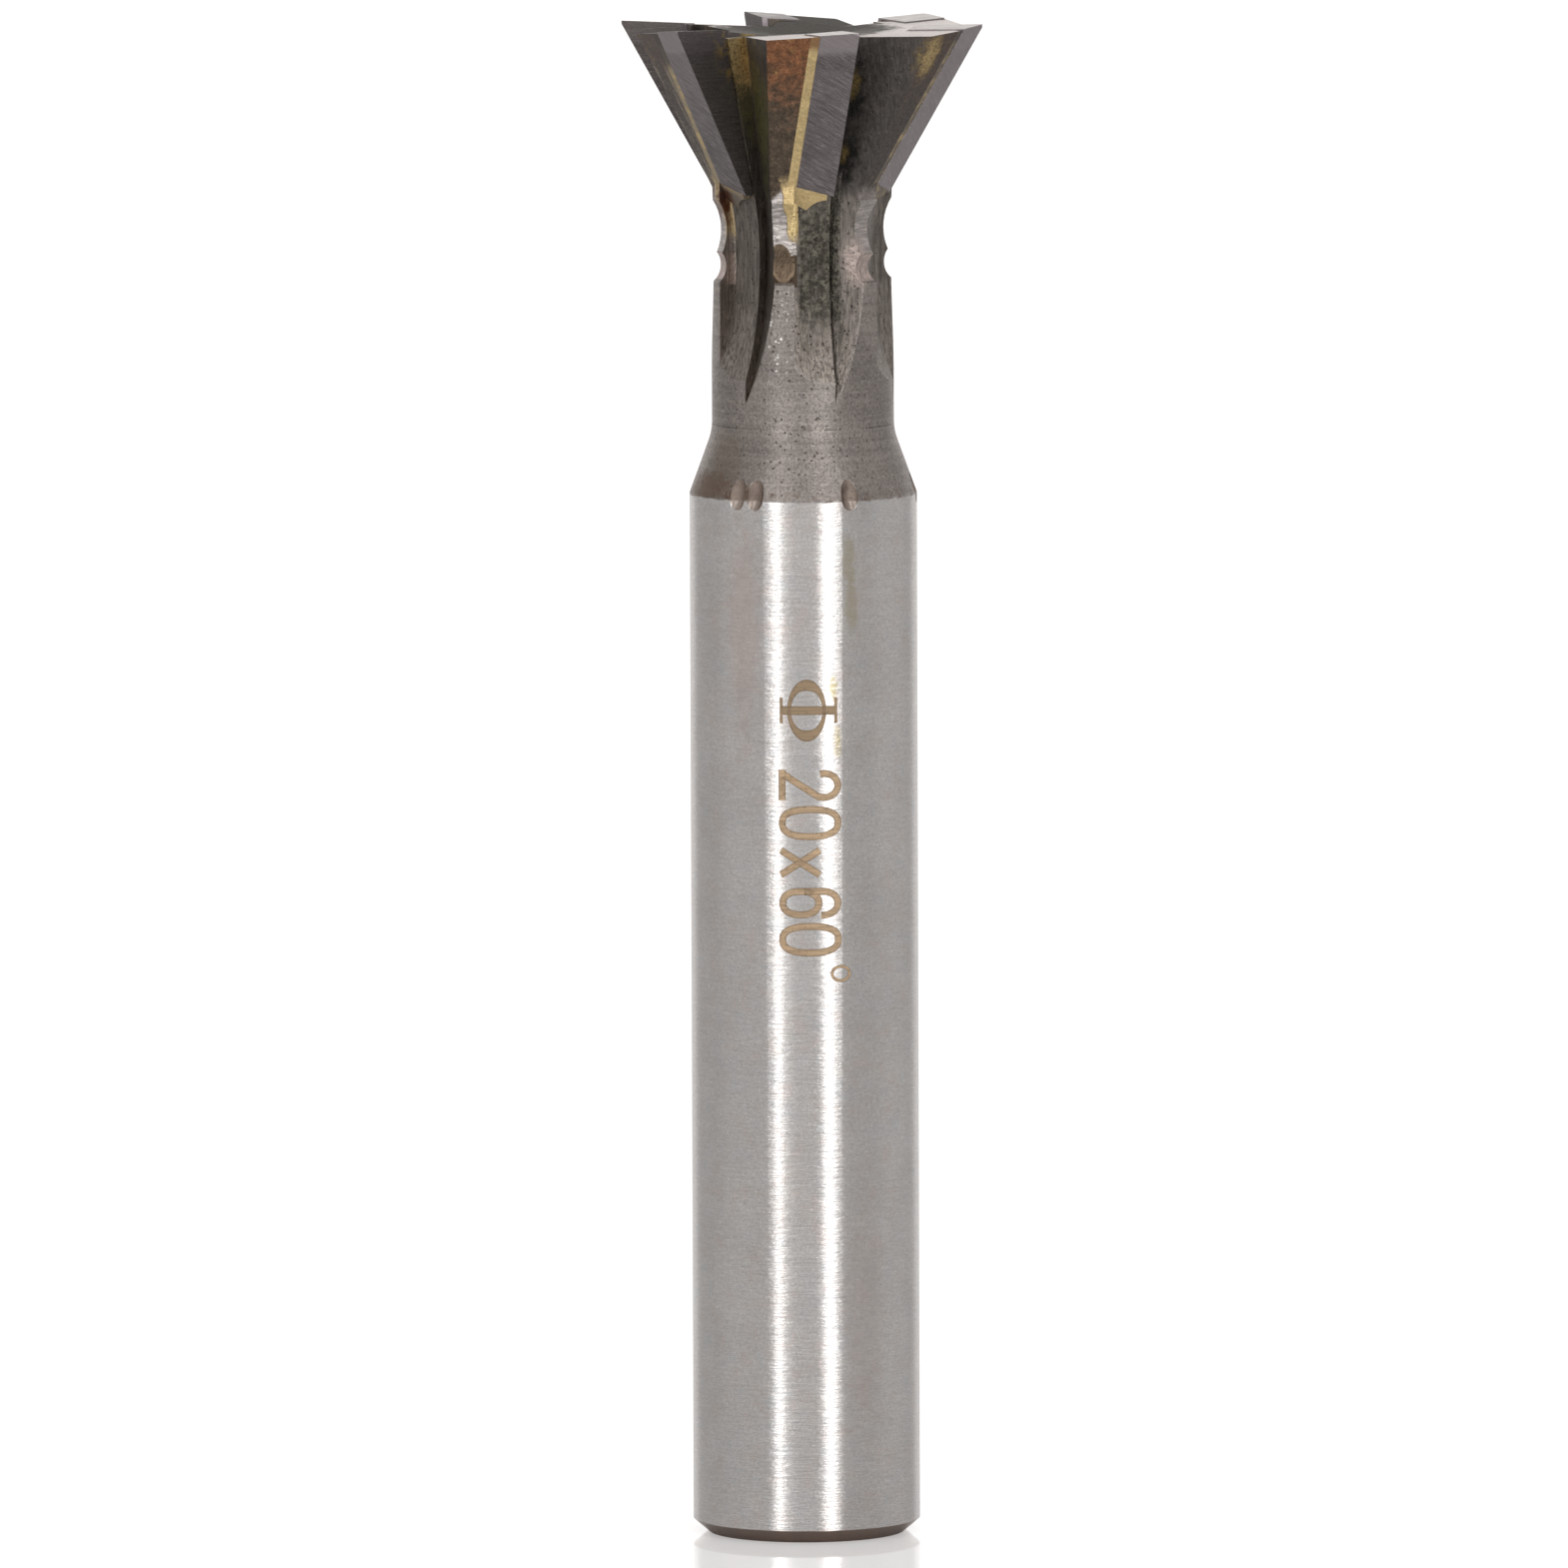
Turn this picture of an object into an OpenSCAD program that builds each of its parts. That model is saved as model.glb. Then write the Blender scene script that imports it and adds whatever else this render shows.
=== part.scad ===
// Dovetail cutter with a plain shank: a turned and milled steel body whose six teeth
// carry carbide tips, each brazed into its own seat slot. Millimetres, the axis on Z,
// the foot of the shank at z = 0 and the cutting end up.
// A tooth is drawn in its own frame: X points outward along its rake plane, Y points
// the way the tooth cuts, and the pattern turns it about the axis.

/* [Shank] */
// Length from the foot to the cutting end
overall_l = 80; // [78:0.5:84]
// Shank diameter
shank_d = 12; // [11.6:0.1:12.6]
// Length of the plain shank, from the foot to its shoulder
shank_l = 55.2; // [53:0.2:57]
// Axial height of the chamfer round the foot
foot_chamfer_h = 0.7; // [0.4:0.1:1]
// Radial width of the chamfer round the foot
foot_chamfer_w = 0.82; // [0.4:0.02:1.2]

/* [Neck] */
// Neck diameter
neck_d = 9.6; // [9.3:0.1:9.9]
// Axial length of the cone between the shank and the neck
shoulder_l = 3.3; // [2.6:0.1:4]
// Radius of the hollow between the cone and the neck
shoulder_fillet_r = 3; // [1.5:0.5:5]

/* [Cutting form] */
// Diameter over the corners of the teeth before the corners are honed
cutter_d = 19.6; // [19:0.1:20.4]
// Dovetail angle, between a flank and the end face
dovetail_angle = 60; // [58:0.5:62]
// Distance of the rake planes ahead of the axis
rake_ahead = 0.44; // [0.2:0.02:0.7]
// Direction of the first tooth about the axis
first_tooth_az = -74.4; // [-90:0.2:90]

/* [Carbide tips] */
// Thickness of a tip
tip_t = 2; // [1.7:0.1:2.2]
// Axial height of a tip
tip_h = 8.9; // [8:0.1:9.1]
// Slope of the lower face of a tip, which rises away from the rake plane
tip_slope = 15; // [8:1:18]
// Relief angle of the flank behind the cutting edge
flank_relief = 13; // [8:1:14]
// Relief angle of the end face behind the end cutting edge
end_relief = 3.5; // [1:0.5:5]
// Fall of the end cutting edge towards the axis
end_dish = 1.5; // [0.5:0.5:3]
// Width honed off the corner
corner_hone = 0.1; // [0.04:0.02:0.2]

/* [Braze] */
// Braze thickness between a tip and its seat
braze_t = 0.14; // [0.1:0.02:0.2]
// Chamfer at the mouth of a seat, filled with braze
seat_mouth = 0.33; // [0.2:0.02:0.44]
// Depth of the braze below the flank of the tip
braze_sink = 0.04; // [0.02:0.01:0.08]
// Length of the braze puddle that runs down the seat below a tip
puddle_l = 1.3; // [1.2:0.05:1.6]
// Distance of the puddle's front behind the rake plane
puddle_back = 0.35; // [0.2:0.05:0.6]
// Radius of the hollow in the free edge of the puddle
puddle_hollow_r = 1.1; // [0.8:0.05:1.15]

/* [Seat slots] */
// Radius of the disc that leaves the slot
seat_disc_r = 18; // [16:0.5:20]
// Smallest distance of the slot floor from the axis
seat_core = 3.65; // [3.4:0.05:3.7]
// Depth of that place below the cutting end
seat_core_down = 12.5; // [12:0.1:13]
// Lean of the slot floor to the axis
seat_lean = 13.5; // [12:0.5:15]

/* [Flutes] */
// Radius of the disc that leaves the flute
flute_disc_r = 20; // [18:0.5:22]
// Smallest distance of the flute bottom from the axis
flute_core = 3.15; // [3:0.05:3.3]
// Depth of that place below the cutting end
flute_core_down = 12; // [11.5:0.1:12.5]
// Lean of the flute bottom to the axis
flute_lean = 9.5; // [8:0.5:11]
// Angle between the two walls of the flute
flute_angle = 58; // [54:1:60]

/* [Tooth backs] */
// Relief angle of the steel behind a tip
back_relief = 22; // [18:1:26]
// Step of the steel end below the end of the tips
end_step = 0.06; // [0.04:0.02:0.3]
// Radius of the hollow turned in the middle of the end
hollow_r = 5.2; // [4.8:0.1:5.6]
// Depth of that hollow at the axis
hollow_depth = 0.9; // [0.7:0.1:1.4]

/* [Ground scallops] */
// Direction of a scallop behind its rake plane
scallop_back = 28; // [26:0.5:30]
// Width of a scallop across its land
scallop_w = 2.6; // [2.2:0.1:3]
// Radius of the upper scallop
upper_scallop_r = 2.6; // [2.4:0.05:2.8]
// Depth of the upper scallop
upper_scallop_depth = 0.52; // [0.4:0.02:0.6]
// Middle of the upper scallop below the cutting end
upper_scallop_down = 10.8; // [10.7:0.05:11]
// Radius of the lower scallop
lower_scallop_r = 1; // [0.9:0.05:1.1]
// Depth of the lower scallop
lower_scallop_depth = 0.48; // [0.4:0.02:0.56]
// Middle of the lower scallop below the cutting end
lower_scallop_down = 12.7; // [12.5:0.05:12.9]

/* [Shoulder nicks] */
// Direction of a nick ahead of its rake plane
nick_ahead = 8.7; // [7:0.1:10]
// Direction of the second nick at one flute ahead of the rake plane
second_nick_ahead = 19; // [18.5:0.5:21]
// Depth of a nick below the shank's surface
nick_depth = 0.45; // [0.35:0.01:0.5]
// Height of the middle of a nick above the shoulder edge
nick_up = 0.65; // [0.4:0.05:0.8]
// Outer radius of the rounded wheel that leaves the nick
nick_wheel_r = 1.9; // [1.6:0.05:2.1]
// Radius of the rim of that wheel
nick_rim_r = 0.54; // [0.5:0.02:0.58]

/* [Hidden] */
$fn = 96;
tooth_count = 6;
pitch = 360 / tooth_count;
second_nick_tooth = 6;
half_angle = 90 - dovetail_angle;
shank_r = shank_d / 2;
neck_r = neck_d / 2;
cutter_r = cutter_d / 2;
shoulder_top_z = shank_l + shoulder_l;
shoulder_angle = atan((shank_r - neck_r) / shoulder_l);
// The hollow between cone and neck is an arc in this many chords
fillet_chords = 6;
fillet_tangent = shoulder_fillet_r * tan(shoulder_angle / 2);
// Length and depth given to cutting shapes so that they pass right through
reach = 30;
// Distance that a blank stands past the faces ground on it
overshoot = 1;
// The neck runs up inside the head and the head down inside the neck by these lengths
neck_root = 2;
cone_root = 1.5;
// Angle of the chamfer at the mouth of a seat
mouth_angle = 45;
// The rim of the end hollow lies below the steel end by this share of its depth
hollow_rim_share = 0.25;
// Depth of a cutting disc's profile above its rim
disc_profile = 8;
// Sweep of a disc past the end of its straight run
disc_sweep = 75;
// The seat cutter laps into the flute by this much
flute_lap = 0.25;

// The corner of a tooth in its own frame
corner_x = sqrt(cutter_r * cutter_r - rake_ahead * rake_ahead);
tip_base_z = overall_l - tip_h;
tip_back_y = rake_ahead - tip_t;
seat_y = tip_back_y - braze_t;
mouth_y = seat_y - seat_mouth;
// Where the steel back starts, on the braze surface at the mouth of the seat
back_x = corner_x - (rake_ahead - mouth_y) * tan(flank_relief) - braze_sink;
// Outward limit of the steel of one tooth behind its rake plane
tooth_span = 6;
neck_top_z = tip_base_z + neck_root;
cone_depth = (cutter_r - neck_r) / tan(half_angle) + cone_root;
puddle_front_y = rake_ahead - puddle_back;

// Distance of a slot floor from the axis at a height on its straight run
function floor_x(z, core, core_z, disc_r, lean) =
    core + disc_r * (1 - cos(lean)) + (z - core_z - disc_r * sin(lean)) * tan(lean);
function seat_floor_x(z) =
    floor_x(z, seat_core, overall_l - seat_core_down, seat_disc_r, seat_lean);
// Inner edge of a tip, standing off the slot floor by the braze
function tip_inner_x(z) = seat_floor_x(z) + braze_t / cos(seat_lean);

// Turns a tooth's own frame to its place in the pattern
module at_tooth(i) {
    rotate([0, 0, first_tooth_az + (i - 1) * pitch])
        children();
}

// All that lies outside a flank plane. The plane follows the dovetail slope through a
// point at the cutting end and falls away behind it by the relief angle.
module beyond_flank(x, y, relief) {
    translate([x, y, overall_l])
        rotate([0, atan(tan(half_angle) * cos(relief)), -relief])
            translate([0, -reach, -reach])
                cube([reach, 2 * reach, 2 * reach]);
}

// All that lies above the end plane of a tooth, lowered by a step
module beyond_end(step) {
    translate([corner_x, rake_ahead, overall_l - step])
        rotate([end_relief, -end_dish, 0])
            translate([-reach, -reach, 0])
                cube([2 * reach, 2 * reach, reach]);
}

// The space that a milling disc leaves: a straight run leaning to the axis, then the
// rim of the disc where it stops. The profile is given as [radius, -y].
module disc_cut(profile, core, core_down, disc_r, lean) {
    translate([core + disc_r, 0, overall_l - core_down])
        rotate([90, 0, 0])
            rotate([0, 0, 180 - lean]) {
                rotate_extrude(angle = disc_sweep)
                    polygon(profile);
                rotate([90, 0, 0])
                    linear_extrude(reach)
                        polygon(profile);
            }
}

// Seat slot between two planes parallel to the rake plane
module seat_slot(y_from, y_to) {
    disc_cut(
        [
            [seat_disc_r, -y_from],
            [seat_disc_r, -y_to],
            [seat_disc_r - disc_profile, -y_to],
            [seat_disc_r - disc_profile, -y_from]
        ],
        seat_core, seat_core_down, seat_disc_r, seat_lean
    );
}

// Flute ahead of a tooth, with one wall on the rake plane
module flute() {
    disc_cut(
        [
            [flute_disc_r, -rake_ahead],
            [flute_disc_r - disc_profile, -rake_ahead],
            [flute_disc_r - disc_profile, -rake_ahead - disc_profile * tan(flute_angle)]
        ],
        flute_core, flute_core_down, flute_disc_r, flute_lean
    );
}

// Steel behind the seat slot of one tooth, from the axis outward
module behind_seat() {
    translate([0, -tooth_span, neck_top_z - reach])
        cube([reach, tooth_span + seat_y, 2 * reach]);
}

// Strip at the mouth of the seat, as wide as its chamfer
module mouth_strip() {
    translate([0, mouth_y, tip_base_z])
        cube([cutter_r, seat_mouth, reach]);
}

// Turned shank, shoulder and neck, as one profile about the axis
module turned_stem() {
    fillet_z = shoulder_top_z + fillet_tangent;
    fillet_x = neck_r + shoulder_fillet_r;
    rotate_extrude()
        polygon(concat(
            [
                [0, 0],
                [shank_r - foot_chamfer_w, 0],
                [shank_r, foot_chamfer_h],
                [shank_r, shank_l]
            ],
            [for (k = [fillet_chords:-1:0])
                let (a = shoulder_angle * k / fillet_chords)
                [
                    fillet_x - shoulder_fillet_r * cos(a),
                    fillet_z - shoulder_fillet_r * sin(a)
                ]
            ],
            [
                [neck_r, neck_top_z],
                [0, neck_top_z]
            ]
        ));
}

// Head cone with the backs of the teeth ground off and the seat mouths chamfered
module head_cone() {
    difference() {
        translate([0, 0, overall_l - cone_depth])
            cylinder(
                h = cone_depth,
                r1 = cutter_r - cone_depth * tan(half_angle),
                r2 = cutter_r
            );
        for (i = [1:tooth_count])
            at_tooth(i) {
                intersection() {
                    beyond_flank(back_x, mouth_y, back_relief);
                    behind_seat();
                }
                intersection() {
                    beyond_flank(back_x, mouth_y, -mouth_angle);
                    mouth_strip();
                }
            }
    }
}

// Steel end of one tooth, ground below the end of its tip
module end_grind() {
    intersection() {
        beyond_end(end_step);
        translate([neck_r / 2, -tooth_span, neck_top_z])
            cube([reach, tooth_span + rake_ahead, reach]);
    }
}

// Shallow hollow turned in the middle of the end
module end_hollow() {
    rim_z = overall_l - end_step - hollow_depth * hollow_rim_share;
    rotate_extrude()
        polygon([
            [0, overall_l - hollow_depth],
            [hollow_r, rim_z],
            [hollow_r, overall_l + overshoot],
            [0, overall_l + overshoot]
        ]);
}

// One scallop ground across the land at the base of a tooth
module scallop(r, depth, down) {
    rotate([0, 0, -scallop_back])
        translate([neck_r - depth + r, 0, overall_l - down])
            rotate([90, 0, 0])
                cylinder(h = scallop_w, r = r, center = true);
}

// Nick left in the shoulder edge by a small rounded wheel
module nick(ahead) {
    rotate([0, 0, ahead])
        translate([shank_r - nick_depth + nick_wheel_r, 0, shank_l + nick_up])
            rotate([90, 0, 0])
                rotate_extrude()
                    translate([nick_wheel_r - nick_rim_r, 0])
                        circle(r = nick_rim_r);
}

module cutter_body() {
    color([0.62, 0.6, 0.58])
        difference() {
            union() {
                turned_stem();
                head_cone();
            }
            end_hollow();
            for (i = [1:tooth_count])
                at_tooth(i) {
                    seat_slot(seat_y, rake_ahead + flute_lap);
                    flute();
                    end_grind();
                    scallop(upper_scallop_r, upper_scallop_depth, upper_scallop_down);
                    scallop(lower_scallop_r, lower_scallop_depth, lower_scallop_down);
                    nick(nick_ahead);
                }
            at_tooth(second_nick_tooth)
                nick(second_nick_ahead);
        }
}

// All that lies below the lower face of a tip
module below_tip() {
    translate([0, rake_ahead, tip_base_z])
        rotate([-tip_slope, 0, 0])
            translate([-reach, -reach, -reach])
                cube([2 * reach, 2 * reach, reach]);
}

// Tip blank between the seat and the rake plane, before its flank and end are ground
module tip_blank() {
    top_z = overall_l + overshoot;
    difference() {
        translate([0, rake_ahead, 0])
            rotate([90, 0, 0])
                linear_extrude(tip_t)
                    polygon([
                        [tip_inner_x(tip_base_z), tip_base_z],
                        [cutter_r, tip_base_z],
                        [cutter_r + overshoot, top_z],
                        [tip_inner_x(top_z), top_z]
                    ]);
        below_tip();
    }
}

module tip() {
    difference() {
        tip_blank();
        beyond_flank(corner_x, rake_ahead, flank_relief);
        beyond_end(0);
        translate([corner_x - corner_hone, -reach, overall_l - reach / 2])
            cube([reach, 2 * reach, reach]);
    }
}

module carbide_tip(i) {
    color([0.5, 0.49, 0.52])
        at_tooth(i)
            tip();
}

// Braze that has run down the seat below a tip. It hangs along the wall of the slot, and
// its free edge is hollow.
module puddle() {
    puddle_x = corner_x - tip_h * tan(half_angle);
    difference() {
        rotate([90, 0, 0])
            linear_extrude(2 * reach, center = true)
                polygon([
                    [0, tip_base_z],
                    [puddle_x, tip_base_z],
                    [seat_core, tip_base_z - puddle_l],
                    [0, tip_base_z - puddle_l]
                ]);
        translate([0, puddle_front_y, tip_base_z - puddle_l])
            rotate([0, 90, 0])
                cylinder(h = reach, r = puddle_hollow_r);
    }
}

// Braze in the seat slot: behind and under the tip, with the puddle below it
module seat_braze() {
    intersection() {
        seat_slot(seat_y, puddle_front_y);
        union() {
            translate([0, -reach, tip_base_z])
                cube([reach, 2 * reach, reach]);
            puddle();
        }
    }
}

// Braze that fills the chamfer at the mouth of the seat
module mouth_braze() {
    difference() {
        intersection() {
            mouth_strip();
            beyond_flank(back_x, mouth_y, -mouth_angle);
        }
        cylinder(h = neck_top_z, r = neck_r);
    }
}

module braze_seam(i) {
    color([0.85, 0.72, 0.45])
        at_tooth(i)
            difference() {
                union() {
                    seat_braze();
                    mouth_braze();
                }
                tip_blank();
                beyond_flank(corner_x - braze_sink, rake_ahead, flank_relief);
                beyond_end(end_step);
                end_hollow();
            }
}

cutter_body();
for (i = [1:tooth_count]) {
    carbide_tip(i);
    braze_seam(i);
}
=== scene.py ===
"""Looks of a brazed dovetail cutter that stands on the end of its shank.

The steel body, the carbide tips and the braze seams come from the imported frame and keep
their shapes. This file gives them their finishes, lays the size mark on the shank as a thin
skin, and sets up the floor, the studio light and the camera.
"""

import math

import bmesh
import bpy
from mathutils import Matrix, Vector


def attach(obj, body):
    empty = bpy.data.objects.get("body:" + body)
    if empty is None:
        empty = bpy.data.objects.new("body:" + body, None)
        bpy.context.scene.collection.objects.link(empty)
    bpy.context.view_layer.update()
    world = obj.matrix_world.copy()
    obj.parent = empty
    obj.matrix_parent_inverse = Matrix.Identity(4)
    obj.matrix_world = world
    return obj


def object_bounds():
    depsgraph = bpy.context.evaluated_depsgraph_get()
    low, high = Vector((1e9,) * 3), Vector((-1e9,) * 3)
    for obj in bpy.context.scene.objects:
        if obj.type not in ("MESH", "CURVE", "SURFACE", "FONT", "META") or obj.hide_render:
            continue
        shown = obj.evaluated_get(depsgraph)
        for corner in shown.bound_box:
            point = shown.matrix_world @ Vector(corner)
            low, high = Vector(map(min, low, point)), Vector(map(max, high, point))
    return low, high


bl_info = {
    "name": "Dovetail cutter finish",
    "version": (1, 0, 0),
    "blender": (4, 5, 0),
    "location": "View3D > Sidebar > Cutter",
    "description": "Finishes, size mark and studio for a brazed dovetail cutter",
    "category": "Object",
}

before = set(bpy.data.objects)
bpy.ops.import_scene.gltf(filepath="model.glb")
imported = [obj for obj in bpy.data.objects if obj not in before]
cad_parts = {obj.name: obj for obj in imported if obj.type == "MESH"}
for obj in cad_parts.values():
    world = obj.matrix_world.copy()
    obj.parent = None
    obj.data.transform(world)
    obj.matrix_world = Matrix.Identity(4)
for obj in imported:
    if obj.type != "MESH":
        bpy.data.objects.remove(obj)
CAD_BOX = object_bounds()

MM = 0.001
TEETH = 6
PITCH = 360.0 / TEETH

# Form of the cutter that the finishes follow, in millimetres and degrees. Turns are measured
# round the axis from +X, so that the front is at -90.
FIRST_TOOTH = -74.4
SHANK_R = 6.0
SHOULDER_Z = 55.2
CONE_SLOPE = 0.364
NECK_R = 4.8
RAKE_Y = 0.44
CHAMFER_Z = 0.7
# Each tooth's share of the turn starts this far behind its rake plane
TOOTH_START = 45.0

# Teeth by number, counted from nought at the front
FRONT = 0
RIGHT = 1
FAR = 3
LEFT = 5

# Zones of the body between two heights
NICK_ZONE = (53.8, 56.4)
EDGE_RUST_ZONE = (55.15, 55.6)
TOOL_LINE_ZONE = (58.82, 58.88)
CUT_ZONE = (59.0, 71.5)
FLUX_ZONE = (64.2, 71.5)
LOWER_SCALLOP_ZONE = (66.3, 68.0)
UPPER_SCALLOP_BOTTOM = 68.02
UPPER_SCALLOP_TOP = 70.85
WET_ZONE = (68.9, 71.9)
FLUSH_ZONE = (69.6, 71.6)
HEAD_BOTTOM = 70.7
HEAD_FULL = 71.9
END_RISE = (78.5, 78.8)
# Turns between which flux lies in the cuts
FLUX_TURNS = (-93.0, -58.0)
# The land below a tooth, in degrees ahead of the tooth's rake plane
LAND = (-36.5, -19.8)
# Oval ground spot on the front land: place ahead of the rake plane, height and half sizes
SPOT_LOCAL = -30.0
SPOT_HALF_LOCAL = 8.5
SPOT_Z = 67.6
SPOT_HALF_Z = 0.98
SPOT_LEAN = 0.2

# Single patches: turn, half turn, height, half height
# Darker brown on the left side of the cone: painted shade, with a brown tint
CONE_SHADE_AND_BROWN = (-142.0, 20.0, 57.0, 2.0)
FLECKS = (-104.0, 12.0, 63.8, 3.4)
FACET = (-49.0, 9.5, 67.6, 1.6)
OLIVE = (-118.0, 16.0, 75.5, 4.5)
TAR = (-58.0, 6.0, 74.5, 5.0)
# Groups of patches, each with its weight at the end
ROSY = (
    (-122.0, 12.0, 48.5, 7.0, 0.5),
    (-58.0, 14.0, 12.0, 9.0, 0.3),
)
DRIPS = (
    (-66.5, 4.5, 52.0, 1.6, 0.7),
    (-65.5, 4.5, 49.6, 1.8, 0.7),
    (-75.0, 3.0, 45.4, 0.9, 1.0),
    (-73.0, 3.0, 42.5, 1.0, 1.0),
)
RUST = (
    (-150.0, 26.0, 55.7, 1.0, 0.75),
    (-124.0, 11.0, 55.4, 0.7, 0.8),
)
BLOOM = (
    (-58.5, 3.0, 77.0, 0.9, 0.8),
    (-59.5, 2.5, 73.4, 0.7, 0.7),
    (-130.0, 5.5, 78.6, 2.0, 1.0),
    (-38.0, 6.0, 78.5, 1.5, 1.0),
)
# Brighter gold on flute walls that lie in shade: braze stain with a painted highlight
GLINTS = (
    (-128.0, 5.0, 78.2, 1.9, 1.0),
    (-38.0, 4.5, 78.6, 1.2, 0.7),
)

# Stretch of the making marks along X, Y and Z
RING_STRETCH = (0.9, 0.9, 6.0)
LATHE_STRETCH = (0.05, 0.05, 4.2)
STROKE_STRETCH = (6.0, 6.0, 0.22)
SCORE_STRETCH = (5.0, 5.0, 0.35)
WHEEL_STRETCH = (1.5, 1.5, 9.0)
HATCH_STRETCH = (0.6, 0.6, 12.0)

# Size mark: places along its line and stroke widths, in cap heights
SIGN_X = 0.475
TWO_X = 1.41
FIRST_NOUGHT_X = 2.259
CROSS_X = 2.64
SIX_X = 3.283
SECOND_NOUGHT_X = 4.11
RING_X = 4.655
STROKE = 0.112
HAIRLINE = 0.05
STROKE_STEP = 0.04
# How far the mark's skin reaches into the shank, and how far its strokes stand apart
MARK_DEPTH = 0.02 * MM
LAYER_LIFT = 0.0002 * MM
SAME_PLACE = 1e-6

# Strip lights: name, turn from the front, half width in degrees, share of the strip glow
STRIPS = (
    ("left_strip", -27.6, 3.5, 1.1),
    ("left_fill", -19.0, 5.3, 0.1),
    ("right_strip", 25.0, 6.4, 1.0),
)
# Place and height of the strip lights and the floor's size, in metres
STRIP_DISTANCE = 0.7
STRIP_HEIGHT = 0.9
STRIP_GAP = 0.005
FLOOR_R = 4.0
FLOOR_SIDES = 96
# White wall behind the cutter: turn from the front, start and full cosine
WALL = (180.0, 0.72, 0.9)
# Brighter parts of the room: turn from the front, start and full cosine, added light
ROOM_PANELS = (
    (-5.0, 0.9, 0.99, 0.3),
    (-66.0, 0.8, 0.99, 0.12),
    (100.0, 0.85, 0.99, 0.1),
)
SENSOR_WIDTH = 36.0
CLIP_END = 20.0


class Field:
    """A shader value that can be used in arithmetic."""

    def __init__(self, bench, socket):
        self.bench = bench
        self.socket = socket

    def _math(self, operation, other):
        return self.bench.math(operation, self, other)

    def __add__(self, other):
        return self._math("ADD", other)

    def __sub__(self, other):
        return self._math("SUBTRACT", other)

    def __rsub__(self, other):
        return self.bench.math("SUBTRACT", other, self)

    def __mul__(self, other):
        return self._math("MULTIPLY", other)

    def __truediv__(self, other):
        return self._math("DIVIDE", other)

    __radd__ = __add__
    __rmul__ = __mul__

    def swing(self, amount):
        """A noise turned into a swing about nought."""
        return (self - 0.5) * amount


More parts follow.
